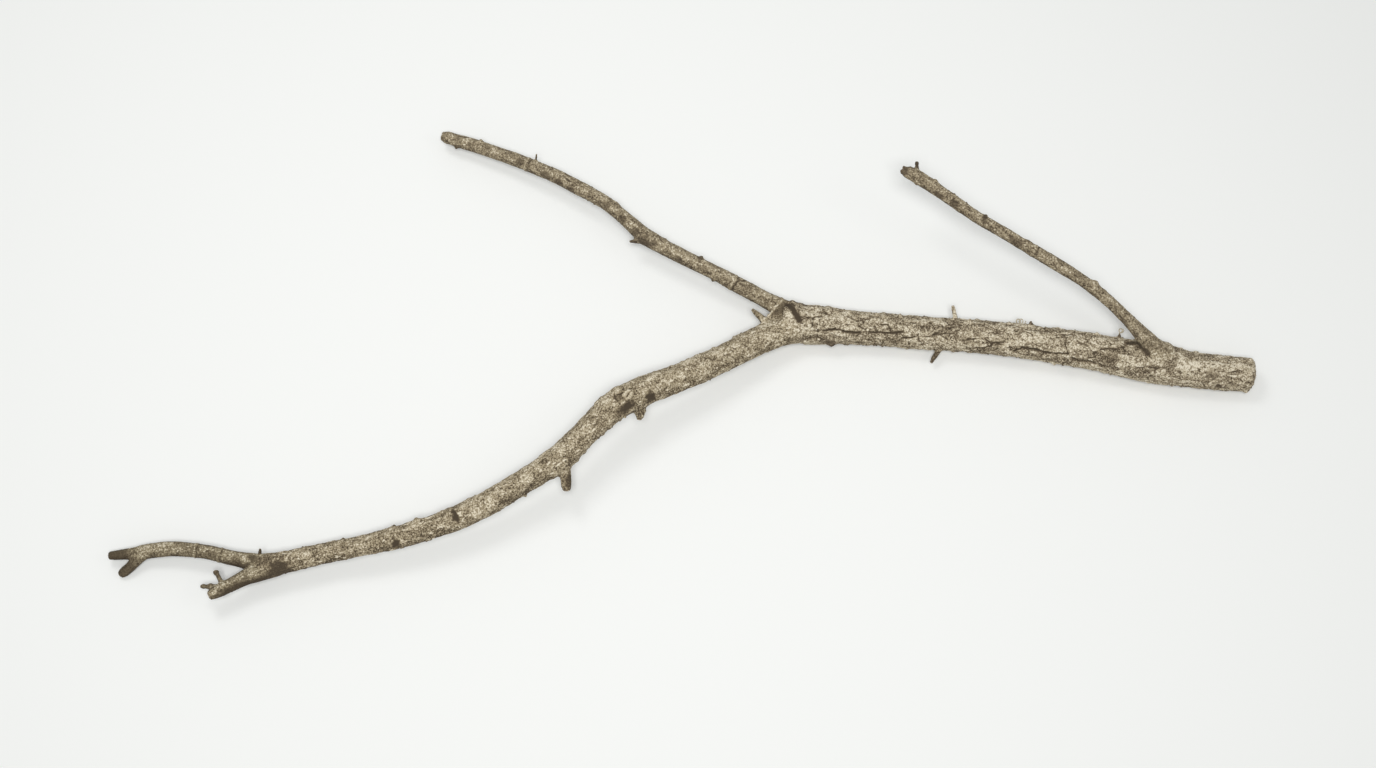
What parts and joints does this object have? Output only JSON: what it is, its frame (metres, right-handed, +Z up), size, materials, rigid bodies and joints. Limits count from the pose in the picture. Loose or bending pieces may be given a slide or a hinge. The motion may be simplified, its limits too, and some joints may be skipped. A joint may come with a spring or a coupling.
{
  "type": "fallen tree branch",
  "caption": "Dead hardwood branch lying on its side: a fissured stem that forks into a knee-bent limb and a thinner limb, with a rising side twig and snapped tips.",
  "frame": {"origin": "on the surface that the branch lies on, under the middle of its box", "axes": "+X towards the butt end of the stem, along the branch's length; +Y towards the side that the upper limb and the side twig spread to; +Z up"},
  "size_m": [0.9897, 0.4403, 0.0914],
  "materials": {
    "fissured_bark": "dry grey-brown bark, split into rough plates by dark fissures, matt",
    "limb_bark": "dry grey-brown bark, finely ridged and granular, matt",
    "twig_bark": "young brown bark, mottled, with ring scars, matt",
    "tip_bark": "dark brown smooth bark of thin tips, matt"
  },
  "bodies": {
    "root": {"stem": "fissured_bark", "lower_limb": "limb_bark", "upper_limb": "twig_bark", "side_twig": "twig_bark", "tip_twig": "tip_bark", "tip_prong": "tip_bark", "tip_stub": "tip_bark", "bend_stub": "limb_bark", "knee_stub": "limb_bark"}
  },
  "joints": []
}
